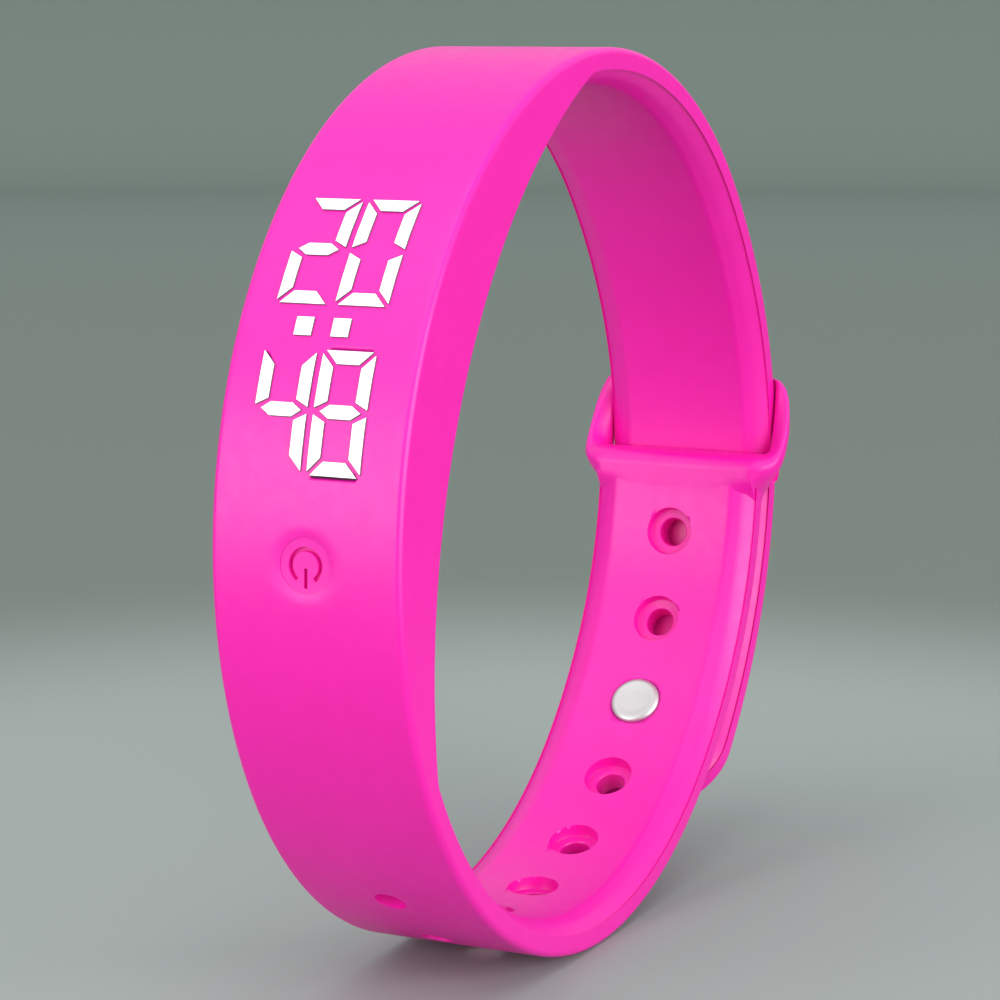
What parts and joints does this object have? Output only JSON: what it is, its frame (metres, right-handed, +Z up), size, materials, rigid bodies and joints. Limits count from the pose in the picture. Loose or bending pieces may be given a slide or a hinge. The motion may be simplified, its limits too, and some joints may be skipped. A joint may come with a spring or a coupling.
{
  "type": "fitness tracker band",
  "caption": "Silicone wrist band with a digital time display, power button and removable electronics capsule, closed by a metal stud through a keeper loop.",
  "frame": {"origin": "centre of the bounding box at its lowest face, under the standing band", "axes": "+Z up; -X the display side; +X the clasp side; the band's width runs along Y"},
  "size_m": [0.0786, 0.02, 0.0751],
  "materials": {
    "silicone": "satin magenta silicone",
    "lit_segments": "white light guide, lit",
    "light_box": "white moulded",
    "stud_metal": "satin nickel",
    "shell": "black moulded, fine grain",
    "screw_steel": "zinc plated",
    "seal_rubber": "matte",
    "circuit": "green solder mask",
    "chip": "moulded epoxy",
    "foil": "pouch foil",
    "foam": "closed-cell foam",
    "bright_metal": "drawn steel",
    "switch_plastic": "ivory moulded",
    "gold": "gold plated"
  },
  "bodies": {
    "band": {"silicone_band": "silicone"},
    "tail": {"strap_tail": "silicone", "stud_post": "stud_metal", "stud_cap": "stud_metal"},
    "button": {"power_button": "silicone"},
    "capsule": {"capsule_front": "shell", "capsule_back": "shell", "capsule_gasket": "seal_rubber", "back_screw_1": "screw_steel", "back_screw_2": "screw_steel", "back_screw_3": "screw_steel", "back_screw_4": "screw_steel", "segment_light_guide": "lit_segments", "segment_light_box": "light_box", "led_flex_circuit": "circuit", "battery_cell": "foil", "battery_foam": "foam", "motor_can": "bright_metal", "main_board": "circuit", "microcontroller": "chip", "motion_sensor": "chip", "clock_crystal": "bright_metal", "tact_switch": "chip", "charge_contact_1": "gold", "charge_contact_2": "gold"},
    "plunger": {"switch_plunger": "switch_plastic"},
    "rotor": {"motor_shaft": "bright_metal", "motor_weight": "bright_metal"}
  },
  "joints": [
    {"name": "tail_peel", "type": "hinge", "parent": "band", "child": "tail", "pos_m": [0.0374, 0, 0.0321], "axis": [0, -1, 0], "range_deg": [0, 40]},
    {"name": "button_press", "type": "slide", "parent": "band", "child": "button", "axis": [1, 0, -0.0087], "range_m": [0, 0.00035], "stiffness_N_per_m": 1500},
    {"name": "capsule_release", "type": "slide", "parent": "band", "child": "capsule", "axis": [0.8829, 0, -0.4695], "range_m": [0, 0.012]},
    {"name": "plunger_press", "type": "slide", "parent": "capsule", "child": "plunger", "axis": [1, 0, -0.0087], "range_m": [0, 0.00035]},
    {"name": "motor_spin", "type": "hinge", "parent": "capsule", "child": "rotor", "pos_m": [-0.02216, 0, 0.06366], "axis": [0, 1, 0], "continuous": true}
  ],
  "couplings": [
    {"joint": "plunger_press", "follows": "button_press", "ratio": 1}
  ]
}
